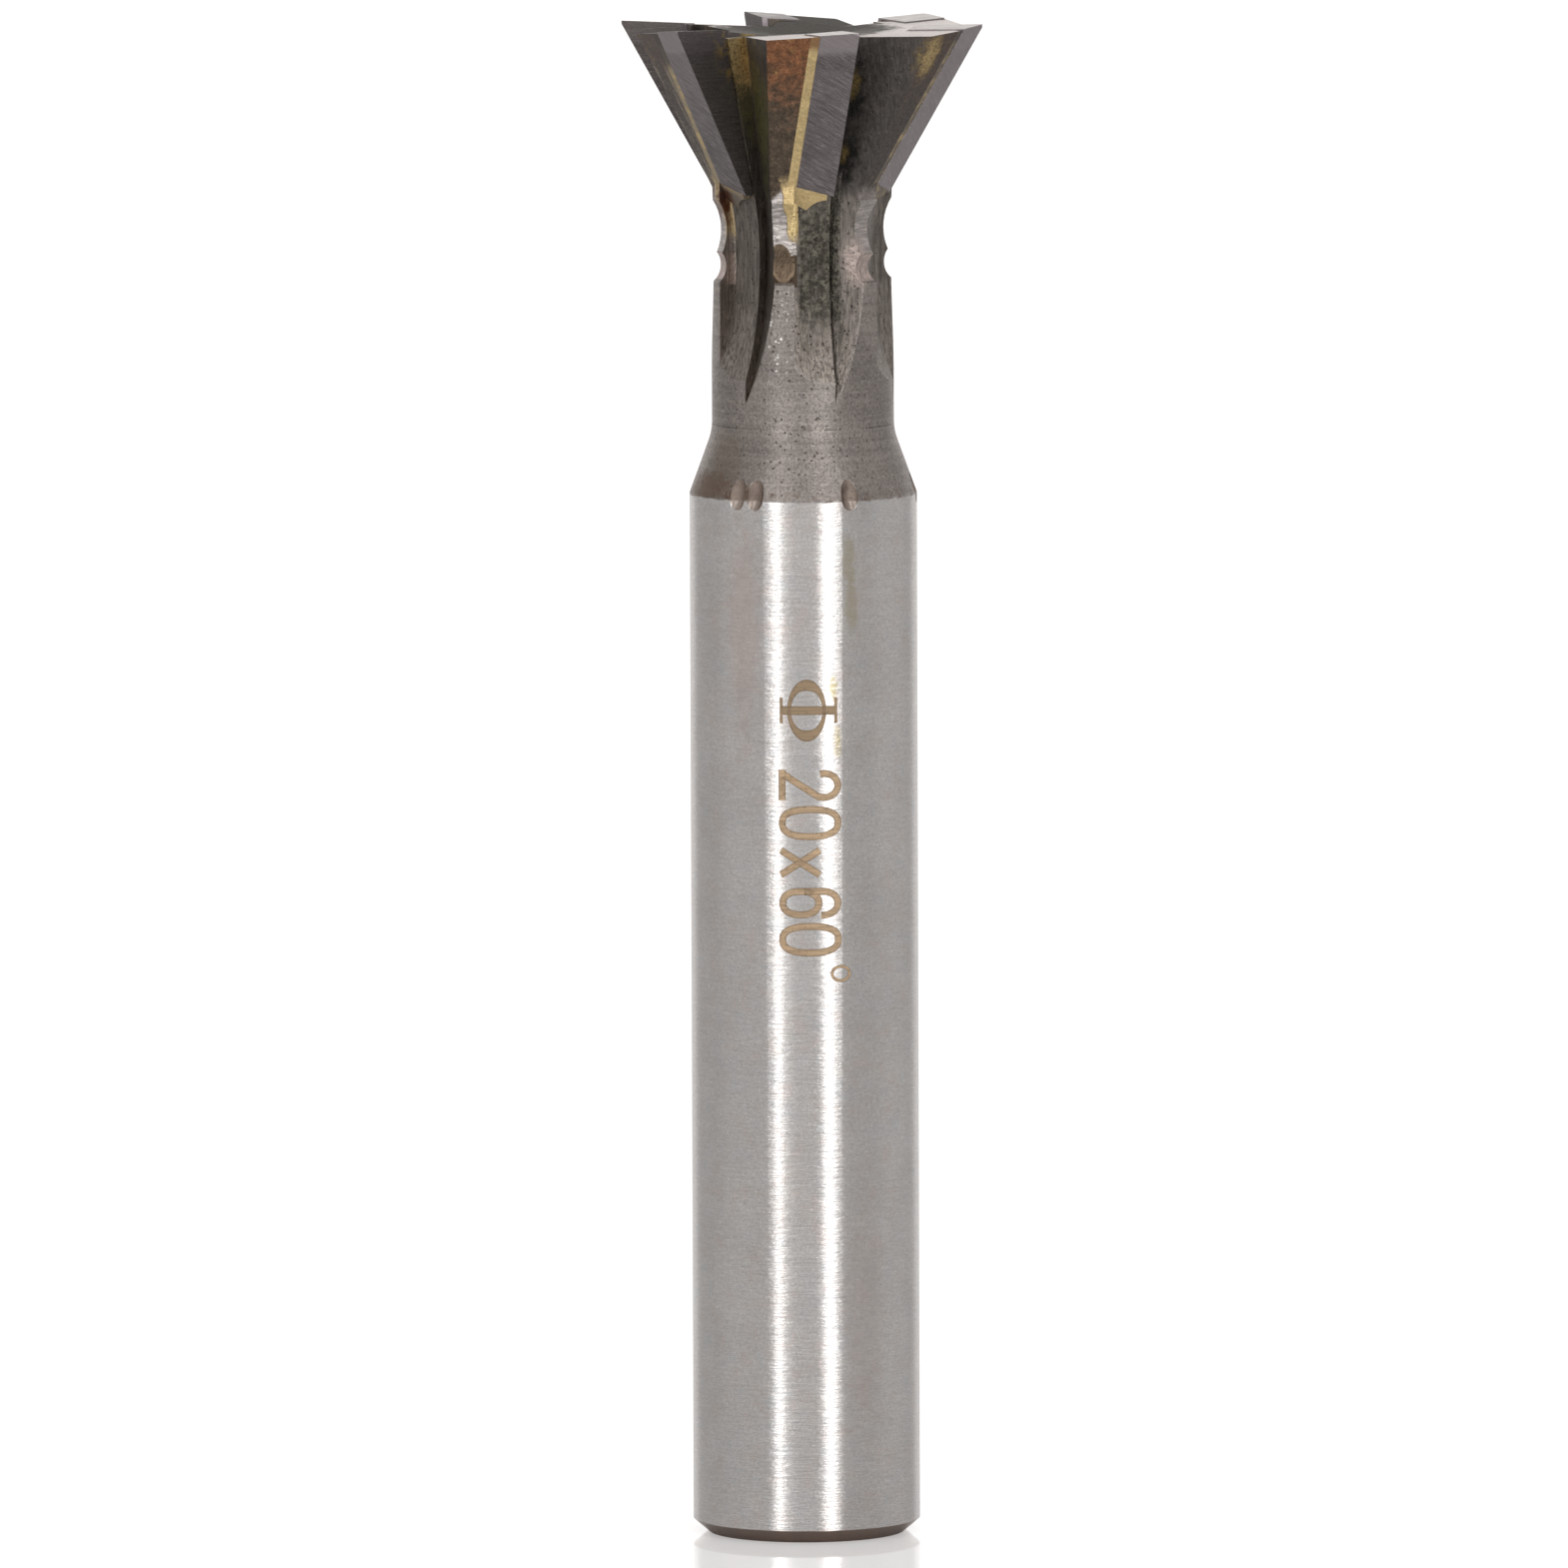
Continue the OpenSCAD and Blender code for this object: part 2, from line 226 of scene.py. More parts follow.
class Bench:
    """Builds one procedural material, node by node."""

    def __init__(self, name):
        self.material = bpy.data.materials.new(name)
        self.material.use_nodes = True
        self.tree = self.material.node_tree
        self.tree.nodes.clear()
        self.out = self.node("OutputMaterial")
        self.shader = self.node("BsdfPrincipled")
        self.tree.links.new(self.shader.outputs["BSDF"], self.out.inputs["Surface"])
        self.coords = self.node("TexCoord")

    def node(self, kind):
        """A new shader node of a kind."""
        return self.tree.nodes.new("ShaderNode" + kind)

    def put(self, value, socket):
        """Links a field to a socket, or sets a plain value on it."""
        if isinstance(value, Field):
            self.tree.links.new(value.socket, socket)
        elif socket.type == "RGBA":
            socket.default_value = (*value[:3], 1.0)
        else:
            socket.default_value = value

    def set(self, **values):
        """Puts values on the shader, with _ for a space in a socket's name."""
        for name, value in values.items():
            self.put(value, self.shader.inputs[name.replace("_", " ")])

    def math(self, operation, *values):
        """The result of one arithmetic step."""
        node = self.node("Math")
        node.operation = operation
        for value, socket in zip(values, node.inputs):
            self.put(value, socket)
        return Field(self, node.outputs[0])

    def most(self, one, other):
        """The greater of two values."""
        return self.math("MAXIMUM", one, other)

    def least(self, one, other):
        """The lesser of two values."""
        return self.math("MINIMUM", one, other)

    def ramp(self, value, low, high, to_low=0.0, to_high=1.0, smooth=True):
        """Maps a range of a value onto another, held at both ends."""
        node = self.node("MapRange")
        node.interpolation_type = "SMOOTHSTEP" if smooth else "LINEAR"
        node.clamp = True
        self.put(value, node.inputs["Value"])
        ends = ("From Min", "From Max", "To Min", "To Max")
        for name, number in zip(ends, (low, high, to_low, to_high)):
            self.put(number, node.inputs[name])
        return Field(self, node.outputs["Result"])

    def fall(self, value, low, high):
        """One below a range of a value and nought above it."""
        return self.ramp(value, low, high, 1.0, 0.0)

    def band(self, value, low, high, soft):
        """One between two limits, falling to nought over a soft edge."""
        return self.ramp(value, low - soft, low + soft) * self.fall(value, high - soft, high + soft)

    def position(self, scale=(1.0, 1.0, 1.0)):
        """Position in the part's frame in millimetres, stretched by a scale."""
        node = self.node("VectorMath")
        node.operation = "MULTIPLY"
        self.tree.links.new(self.coords.outputs["Object"], node.inputs[0])
        node.inputs[1].default_value = tuple(s / MM for s in scale)
        return Field(self, node.outputs[0])

    def split(self, vector):
        """The three parts of a vector."""
        node = self.node("SeparateXYZ")
        self.put(vector, node.inputs[0])
        return [Field(self, node.outputs[i]) for i in range(3)]

    def join(self, x, y, z):
        """A vector from three parts."""
        node = self.node("CombineXYZ")
        for value, socket in zip((x, y, z), node.inputs):
            self.put(value, socket)
        return Field(self, node.outputs[0])

    def normal(self):
        """The three parts of the surface's direction in the part's frame."""
        return self.split(Field(self, self.coords.outputs["Normal"]))

    def noise(self, vector, scale, detail, rough):
        """Cloudy noise about a half."""
        node = self.node("TexNoise")
        self.put(vector, node.inputs["Vector"])
        node.inputs["Scale"].default_value = scale
        node.inputs["Detail"].default_value = detail
        node.inputs["Roughness"].default_value = rough
        return Field(self, node.outputs["Fac"])

    def cells(self, vector, scale):
        """Distance to the nearest of many scattered points."""
        node = self.node("TexVoronoi")
        self.put(vector, node.inputs["Vector"])
        node.inputs["Scale"].default_value = scale
        return Field(self, node.outputs["Distance"])

    def dots(self, vector, scale, core, edge):
        """Scattered round dots, full to a core and gone at an edge."""
        return self.fall(self.cells(vector, scale), core, edge)

    def chance(self, value):
        """A fixed random number for each value."""
        node = self.node("TexWhiteNoise")
        node.noise_dimensions = "1D"
        self.put(value, node.inputs["W"])
        return Field(self, node.outputs["Value"])

    def blend(self, amount, under, over):
        """One colour laid over another."""
        node = self.node("Mix")
        node.data_type = "RGBA"
        node.clamp_factor = True
        self.put(amount, node.inputs[0])
        self.put(under, node.inputs[6])
        self.put(over, node.inputs[7])
        return Field(self, node.outputs[2])

    def shade(self, colour, factor):
        """A colour made lighter or darker by a factor."""
        node = self.node("VectorMath")
        node.operation = "SCALE"
        self.put(colour, node.inputs[0])
        self.put(factor, node.inputs["Scale"])
        return Field(self, node.outputs[0])

    def vary(self, colour, noise, low, high, spread=0.2):
        """A colour shaded from low to high by a noise, over a spread about its middle."""
        return self.shade(colour, self.ramp(noise, 0.5 - spread, 0.5 + spread, low, high))

    def bump(self, height, distance):
        """Relief on the surface, its distance in millimetres."""
        node = self.node("Bump")
        node.inputs["Strength"].default_value = 1.0
        node.inputs["Distance"].default_value = distance * MM
        self.put(height, node.inputs["Height"])
        self.tree.links.new(node.outputs["Normal"], self.shader.inputs["Normal"])

    def turned_grain(self, amount):
        """Stretches the gloss along the axis, across marks that run round the part."""
        tangent = self.node("Tangent")
        tangent.direction_type = "RADIAL"
        tangent.axis = "Z"
        self.tree.links.new(tangent.outputs["Tangent"], self.shader.inputs["Tangent"])
        self.shader.inputs["Anisotropic"].default_value = amount
        self.shader.inputs["Anisotropic Rotation"].default_value = 0.25


class ToothFields:
    """Where a point lies on the cutter, and in the frame of its own tooth."""

    def __init__(self, bench):
        self.bench = bench
        self.point = bench.position()
        x, y, self.z = bench.split(self.point)
        self.r = bench.math("SQRT", x * x + y * y)
        self.turn = bench.math("ARCTAN2", y, x) * math.degrees(1.0)
        ahead = (self.turn - FIRST_TOOTH + TOOTH_START) / PITCH
        self.tooth = bench.math("FLOORED_MODULO", bench.math("FLOOR", ahead), float(TEETH))
        # Degrees ahead of the tooth's rake plane, from -45 to 15
        self.local = bench.math("FRACT", ahead) * PITCH - TOOTH_START
        radians = self.local * math.radians(1.0)
        # Distance along the rake plane and ahead of it
        self.u = self.r * bench.math("COSINE", radians)
        self.v = self.r * bench.math("SINE", radians)
        nx, ny, self.nz = bench.normal()
        # How far the surface faces away from the axis
        self.outward = (nx * x + ny * y) / bench.most(self.r, 0.01)

    def is_tooth(self, number):
        """One on the tooth with this number, counted from nought at the front."""
        return self.bench.math("COMPARE", self.tooth, float(number), 0.4)

    def patch(self, turn, half_turn, height, half_height, ragged):
        """An oval patch round a turn and a height, its edge ragged by a noise."""
        across = (self.turn - turn) / half_turn
        along = (self.z - height) / half_height
        reach = self.bench.math("SQRT", across * across + along * along) + ragged.swing(1.6)
        return self.bench.fall(reach, 0.35, 1.1)

    def patches(self, group, ragged):
        """The sum of a group of patches, each with its weight at the end."""
        return sum(self.patch(*place, ragged) * weight for *place, weight in group)


def colour_property(name, description, value):
    """A colour in the sidebar."""
    return bpy.props.FloatVectorProperty(
        name=name, description=description, default=value, subtype="COLOR", min=0.0, max=1.0
    )


def length_property(name, description, value):
    """A length in the sidebar, in metres."""
    return bpy.props.FloatProperty(
        name=name, description=description, default=value, unit="LENGTH", precision=6
    )


def angle_property(name, description, degrees):
    """An angle in the sidebar."""
    return bpy.props.FloatProperty(
        name=name, description=description, default=math.radians(degrees), subtype="ANGLE"
    )


def light_property(name, description, value):
    """A strength of light in the sidebar."""
    return bpy.props.FloatProperty(name=name, description=description, default=value, min=0.0)


class CutterFinish(bpy.types.PropertyGroup):
    """Colours of the steel, carbide and braze."""

    shank: colour_property("Shank", "Ground steel of the shank", (0.64, 0.62, 0.605))
    rosy: colour_property("Rosy steel", "Pinkish steel of patches and facets", (0.6, 0.5, 0.46))
    cool: colour_property("Cool steel", "Bluish steel of patches on the shank", (0.55, 0.57, 0.6))
    speck: colour_property("Specks", "Small dark specks on the shank", (0.16, 0.14, 0.13))
    drip: colour_property("Drips", "Dried gold drips on the shank", (0.43, 0.365, 0.21))
    foot: colour_property("Foot", "Brown chamfer at the foot", (0.3, 0.215, 0.175))
    neck: colour_property("Neck", "Turned steel of the neck and shoulder", (0.39, 0.35, 0.325))
    pit: colour_property("Pits", "Pits in the neck and shoulder", (0.095, 0.078, 0.066))
    deep_pit: colour_property("Deep pits", "Pits in the milled cuts", (0.06, 0.05, 0.04))
    dull_pit: colour_property("Dull pits", "Pits in the ground end", (0.3, 0.26, 0.24))
    tool_line: colour_property("Tool line", "Line where the cone meets the neck", (0.06, 0.05, 0.045))
    fleck: colour_property("Flecks", "Bright flecks on the front land", (0.95, 0.93, 0.9))
    rust: colour_property("Rust", "Brown stain at the shoulder edge", (0.16, 0.095, 0.06))
    nick: colour_property("Nicks", "Bare metal in the shoulder nicks", (0.44, 0.36, 0.31))
    milled: colour_property("Milled cuts", "Floors of the seat slots", (0.24, 0.212, 0.188))
    soot: colour_property("Soot", "Olive-black flux and soot", (0.063, 0.059, 0.047))
    flute: colour_property("Flutes", "Charcoal scale in the flutes", (0.072, 0.063, 0.058))
    dust: colour_property("Dust", "Pale dust in the flutes", (0.6, 0.58, 0.54))
    olive: colour_property("Olive", "Greenish flux in the flutes", (0.21, 0.19, 0.085))
    stain: colour_property("Stain", "Gold-brown heat stain", (0.42, 0.29, 0.1))
    back: colour_property("Tooth back", "Copper heat tint behind the front tip", (0.25, 0.11, 0.052))
    tan: colour_property("Tan", "Brown heat tint on steel", (0.23, 0.17, 0.12))
    ground: colour_property("Ground faces", "Freshly ground steel", (0.76, 0.7, 0.67))
    carbide: colour_property("Carbide", "Ground carbide of the tips", (0.225, 0.2, 0.206))
    braze: colour_property("Braze", "Pale gold filler metal", (0.8, 0.61, 0.31))
    pore: colour_property("Pores", "Pores in the filler metal", (0.2, 0.11, 0.05))
    smear: colour_property("Smear", "Thin filler on the left tooth's back", (0.4, 0.34, 0.26))
    maroon: colour_property("Maroon", "Burnt flux at the left tooth", (0.15, 0.06, 0.035))
    mark: colour_property("Size mark", "Etched size mark on the shank", (0.52, 0.375, 0.24))


class SizeMark(bpy.types.PropertyGroup):
    """Place and size of the mark on the shank."""

    cap_height: length_property("Cap height", "Figure height, round the shank", 3.33 * MM)
    top: length_property("Top", "Height of the first figure above the foot", 45.76 * MM)
    base_turn: angle_property("Base line", "Turn of the base line from the front", -13.0)
    proud: length_property("Proud", "Height of the skin above the shank", 0.006 * MM)


class Studio(bpy.types.PropertyGroup):
    """Floor, light and camera."""

    camera_distance: length_property("Camera distance", "From the camera to the axis", 1.1)
    camera_height: length_property("Camera height", "Camera above the floor", 0.15)
    view_width: length_property("View width", "Picture width at the axis", 82.83 * MM)
    aim_height: length_property("Aim height", "Height that the camera looks at", 39.71 * MM)
    aim_side: length_property("Aim side", "Camera to the left of the axis", 1.07 * MM)
    roll: angle_property("Roll", "Roll of the camera about its line of sight", -0.21)
    strip_glow: light_property("Strip glow", "Brightness of the tall strip lights", 3.7)
    room_light: light_property("Room light", "Soft light from all round", 0.55)
    floor_glow: light_property("Floor glow", "Lifts the floor to white in the view", 0.34)
    floor: colour_property("Floor", "Pale polished floor", (0.72, 0.715, 0.71))
    room: colour_property("Room", "Colour of the soft light from all round", (1.0, 0.98, 0.968))


def look(obj, material):
    """Gives an object one finish."""
    obj.data.materials.clear()
    obj.data.materials.append(material)


def look_each(stem, material):
    """Gives one finish to the like piece of every tooth."""
    for number in range(1, TEETH + 1):
        look(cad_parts["%s_%d" % (stem, number)], material)


# In the finishes b is the bench, f the tooth fields, m the steel marks and p the position
class SteelMarks:
    """Marks of making and wear on the steel body, and the zones that its finish follows."""

    def __init__(self, b, f):
        self.front = f.is_tooth(FRONT)
        self.right = f.is_tooth(RIGHT)
        self.left = f.is_tooth(LEFT)
        # A fixed random share that sets the teeth apart
        self.luck = b.chance(f.tooth + 3.0)
        self.make_textures(b, f)
        self.make_zones(b, f)
        self.make_stains(b, f)

    def make_textures(self, b, f):
        """Rings, strokes and wheel lines, blotches from coarse to fine, pits and specks."""
        p = f.point
        self.rings = b.noise(b.position(RING_STRETCH), 1.0, 3.0, 0.6)
        self.lathe = b.noise(b.position(LATHE_STRETCH), 1.0, 2.0, 0.5)
        self.strokes = b.noise(b.position(STROKE_STRETCH), 1.6, 3.0, 0.6)
        self.scores = b.ramp(b.noise(b.position(SCORE_STRETCH), 1.3, 2.0, 0.7), 0.55, 0.66)
        self.wheel_lines = b.noise(b.position(WHEEL_STRETCH), 0.9, 3.0, 0.6)
        self.curved = b.noise(b.join(f.v * 2.0, f.z * 2.0 + f.v * f.v, f.u), 3.0, 2.0, 0.5)
        self.cloud = b.noise(p, 0.35, 4.0, 0.6)
        self.mottle = b.noise(p, 1.9, 5.0, 0.68)
        self.crust = b.noise(p, 3.2, 4.0, 0.75)
        self.grit = b.noise(p, 7.0, 3.0, 0.6)
        self.fine = b.noise(p, 17.0, 2.0, 0.6)
        large_pits = b.dots(p, 2.8, 0.1, 0.22) * b.ramp(self.mottle, 0.36, 0.5)
        small_pits = b.dots(p, 5.5, 0.1, 0.26) * b.ramp(self.grit, 0.44, 0.56)
        self.pits = b.most(large_pits, small_pits * 0.8)
        self.specks = b.dots(p, 3.4, 0.05, 0.15) * b.ramp(self.grit, 0.5, 0.6)

    def make_zones(self, b, f):
        """Shank, foot, nicks, cuts, scallops, head and end, each one where it lies."""
        edge_z = f.z + self.mottle.swing(0.25)
        self.on_shank = b.fall(edge_z, SHOULDER_Z - 0.1, SHOULDER_Z + 0.02)
        self.at_foot = b.fall(f.z, CHAMFER_Z - 0.03, CHAMFER_Z + 0.05)
        cone_r = SHANK_R - (f.z - SHOULDER_Z) * CONE_SLOPE
        skin_r = b.least(cone_r, SHANK_R)
        self.in_nick = b.band(f.z, *NICK_ZONE, 0.1) * b.ramp(skin_r - f.r, 0.015, 0.05)
        below_land = b.fall(f.r, NECK_R - 0.1, NECK_R - 0.02)
        self.in_cut = below_land * b.band(f.z, *CUT_ZONE, 0.3)

        on_land = b.band(f.local, *LAND, 0.6) * b.ramp(f.outward, 0.62, 0.75)
        upper_top = UPPER_SCALLOP_TOP + self.front * 1.4
        self.upper_scallop = b.band(f.z, UPPER_SCALLOP_BOTTOM, upper_top, 0.05) * on_land
        self.lower_scallop = b.band(f.z, *LOWER_SCALLOP_ZONE, 0.05) * on_land * below_land
        self.at_scallop = b.most(self.upper_scallop, self.lower_scallop)
        across = (f.local - SPOT_LOCAL) / SPOT_HALF_LOCAL
        along = (f.z - SPOT_Z + across * SPOT_LEAN) / SPOT_HALF_Z
        self.spot_reach = across * across + along * along
        self.in_spot = b.fall(self.spot_reach, 0.95, 1.1) * self.front * on_land

        # The front tooth's back ends aslant, and with a cleaner edge than the others
        aslant = self.front * b.ramp(f.local, -36.0, -19.0, -0.3, 1.1, smooth=False)
        aslant = aslant * b.ramp(f.outward, 0.45, 0.6)
        head_z = f.z - aslant + (self.mottle - 0.5) * (1.6 - self.front * 1.2)
        self.in_head = b.ramp(head_z, HEAD_BOTTOM + self.front * 0.3, HEAD_FULL - self.front * 0.6)
        self.at_end = b.ramp(f.nz, 0.75, 0.9) * b.ramp(f.z, *END_RISE)
        self.in_scale = self.in_head * (1.0 - self.at_end)
        self.tooth_back = self.in_scale * b.ramp(f.outward, 0.68, 0.76)

    def make_stains(self, b, f):
        """Rust at the shoulder, soot in the cuts and on the end, filler run down the land."""
        edge = b.band(f.z, *EDGE_RUST_ZONE, 0.15) * b.ramp(self.mottle, 0.5, 0.66)
        self.rust = b.most(f.patches(RUST, self.mottle), edge * 0.7)

        fluxed = b.band(f.z + self.cloud.swing(6.0), *FLUX_ZONE, 2.0)
        fluxed = fluxed * b.band(f.turn, *FLUX_TURNS, 2.0)
        dusted = self.luck * 0.15 * b.ramp(f.z, 63.0, 70.0)
        self.sooty = self.in_cut * b.most(fluxed, dusted) * b.ramp(self.mottle, 0.25, 0.5, 0.35, 1.0)
        sooty_r = f.r + self.mottle.swing(3.0) - f.is_tooth(FAR) * 5.0
        self.sooty_end = self.at_end * b.fall(sooty_r, 4.2, 5.8)

        run_edge = (70.5 - f.z) * 1.15 - 27.0 + self.mottle.swing(6.0)
        wet = b.ramp(f.local - run_edge, -1.0, 0.6) * b.fall(f.local, -19.2, -18.2)
        wet = wet * b.band(f.z + self.mottle.swing(1.2), *WET_ZONE, 0.4) * b.ramp(f.outward, 0.45, 0.6)
        share = self.front + self.left * 0.6 + self.luck * 0.25 * (1.0 - self.right)
        self.wet = b.least(wet * share, 1.0)


def shank_colour(b, f, m, style):
    """Clear ground steel with rosy and cool blotches, specks and gold drips."""
    colour = b.blend(b.ramp(m.cloud, 0.3, 0.7), style.shank, b.shade(style.shank, 0.92))
    colour = b.vary(colour, m.rings, 0.96, 1.03, 0.25)
    colour = b.vary(colour, m.grit, 0.88, 1.1, 0.25)
    colour = b.vary(colour, m.fine, 0.83, 1.13, 0.25)
    tint = b.noise(f.point, 0.9, 4.0, 0.65)
    colour = b.blend(b.ramp(tint, 0.5, 0.66) * 0.3, colour, style.rosy)
    colour = b.blend(b.fall(tint, 0.34, 0.5) * 0.3, colour, style.cool)
    colour = b.blend(f.patches(ROSY, m.mottle), colour, b.vary(style.rosy, m.mottle, 0.85, 1.1))
    colour = b.blend(m.specks * 0.7, colour, style.speck)
    drips = f.patches(DRIPS, m.mottle) * b.ramp(m.grit, 0.35, 0.65, 0.4, 0.95)
    return b.blend(drips, colour, style.drip)


def cut_colour(b, f, m, style):
    """Floors of the milled cuts, stroked, scored and pitted."""
    colour = b.vary(style.milled, m.strokes, 0.62, 1.34, 0.18)
    colour = b.vary(colour, m.mottle, 0.85, 1.15)
    colour = b.shade(colour, b.ramp(f.z, 61.0, 68.0, 1.35, 0.95))
    colour = b.blend(m.scores * 0.55, colour, style.flute)
    return b.blend(m.pits * 0.6, colour, style.deep_pit)


def neck_colour(b, f, m, style):
    """Dull turned steel of the neck and shoulder, with its cuts, rust, pits, flecks and painted shade
    on the cone's left side.
    """
    colour = b.blend(b.ramp(m.cloud, 0.35, 0.65), style.neck, b.shade(style.neck, 0.82))
    colour = b.vary(colour, m.lathe, 0.9, 1.09)
    colour = b.vary(colour, m.fine, 0.86, 1.14, 0.25)
    colour = b.vary(colour, m.grit, 0.78, 1.2)
    # Painted shade on the left side of the cone, with a brown tint
    colour = b.blend(f.patch(*CONE_SHADE_AND_BROWN, m.cloud) * 0.45, colour, style.tan)
    colour = b.blend(m.pits * 0.65, colour, style.pit)
    line = b.band(f.z + m.mottle.swing(0.12), *TOOL_LINE_ZONE, 0.04) * b.ramp(m.cloud, 0.4, 0.5)
    colour = b.blend(line * 0.6, colour, style.tool_line)
    colour = b.blend(m.rust, colour, style.rust)
    colour = b.blend(m.in_cut * 0.9, colour, cut_colour(b, f, m, style))
    soot = b.shade(style.soot, b.ramp(m.crust, 0.4, 0.66, 0.7, 3.4))
    colour = b.blend(m.sooty * 0.9, colour, soot)
    flecks = b.dots(f.point, 3.6, 0.22, 0.36) * f.patch(*FLECKS, m.cloud)
    return b.blend(flecks * b.ramp(m.grit, 0.36, 0.48) * 0.9, colour, style.fleck)


def flute_colour(b, f, m, style):
    """Charcoal scale with dust, olive flux and tar."""
    colour = b.blend(b.ramp(m.mottle, 0.35, 0.7), style.flute, b.shade(style.flute, 1.5))
    colour = b.vary(colour, m.strokes, 0.72, 1.35)
    colour = b.blend(b.dots(f.point, 1.6, 0.02, 0.05) * 0.5, colour, style.dust)
    olive = f.patch(*OLIVE, m.cloud) * b.ramp(m.mottle, 0.22, 0.55)
    colour = b.blend(olive * 0.9, colour, style.olive)
    tar = f.patch(*TAR, m.mottle) * b.ramp(m.cloud, 0.3, 0.55)
    return b.blend(tar * 0.85, colour, b.vary(style.soot, m.mottle, 0.15, 0.5))


def tooth_back_colour(b, f, m, style):
    """Copper heat tint on the front tooth's back, scale on the others, smears on the left."""
    heat = b.ramp(f.z + m.mottle.swing(7.0) + m.cloud.swing(4.0), 74.6, 79.2)
    colour = b.blend(heat, b.shade(style.tan, 0.5), style.back)
    colour = b.vary(colour, m.mottle, 0.65, 1.35)
    spots = b.dots(f.point, 0.9, 0.1, 0.24) * b.ramp(m.mottle, 0.45, 0.6)
    colour = b.blend(spots * 0.5, colour, style.stain)
    colour = b.blend((1.0 - m.front) * 0.85, colour, b.shade(style.flute, 1.4))
    colour = b.vary(colour, m.grit, 0.75, 1.3, 0.25)
    colour = b.vary(colour, m.strokes, 0.8, 1.2)
    smear = b.noise(b.join(f.local * 0.3, f.z * 0.16 + f.local * 0.05, 0.0), 1.6, 3.0, 0.6)
    smear = b.ramp(smear + m.grit.swing(0.25), 0.48, 0.62) * b.fall(f.z + m.mottle - 0.5, 77.6, 78.4)
    return b.blend(smear * m.left * 0.75, colour, style.smear)


def head_colour(b, f, m, style):
    """Flutes and tooth backs, with gold bloom near the end and painted highlights of brighter gold."""
    colour = b.blend(m.tooth_back, flute_colour(b, f, m, style), tooth_back_colour(b, f, m, style))
    scattered = b.ramp(f.z, 75.0, 79.0) * b.ramp(b.noise(f.point, 0.8, 4.0, 0.7), 0.52, 0.68)
    bloom = b.least(f.patches(BLOOM, m.mottle) + scattered * m.luck, 1.0)
    bloom = bloom * b.ramp(m.grit, 0.25, 0.7, 0.35, 1.0)
    colour = b.blend(bloom * 0.85 * (1.0 - m.front * m.tooth_back), colour, style.stain)
    # Painted highlight: the gold in the shaded flutes is painted brighter than the stain
    glints = f.patches(GLINTS, m.mottle) * b.ramp(m.grit, 0.3, 0.6)
    return b.blend(glints * 0.8, colour, b.shade(style.braze, 0.85))


def lit_end_colour(b, m, style):
    """Ground end, its fresh grinding painted lighter with painted light from above, sooty in its
    hollow and on the far tooth.
    """
    colour = b.vary(style.ground, m.strokes, 0.88, 1.06)
    colour = b.blend(m.pits * 0.4, colour, style.dull_pit)
    return b.blend(m.sooty_end * 0.95, colour, b.vary(style.soot, m.grit, 0.5, 1.4))


def upper_scallop_colour(b, m, style):
    """Bright lines of the grinding wheel, duller on all but the front tooth."""
    colour = b.shade(style.ground, b.ramp(m.wheel_lines, 0.42, 0.66, 0.5, 1.0))
    return b.blend((1.0 - m.front) * 0.45, colour, style.neck)


def lower_scallop_colour(b, f, m, style):
    """Curved wheel marks, with a pale-rimmed oval spot on the front land."""
    colour = b.blend(m.front, style.rosy, style.tan)
    colour = b.vary(colour, m.curved, 0.7, 1.3)
    rim = b.band(m.spot_reach, 0.72, 1.02, 0.08) * b.fall(f.z, 67.0, 67.3)
    colour = b.blend(rim * m.front * 0.6, colour, b.shade(style.tan, 1.8))
    # Above the crease the land faces the light, so the spot is painted darker there
    colour = b.shade(colour, 1.0 - b.ramp(f.z, 67.95, 68.05, 0.0, 0.4) * m.front)
    off_spot = m.lower_scallop * m.front * (1.0 - m.in_spot)
    return b.blend(off_spot, colour, b.shade(style.tan, 0.42))


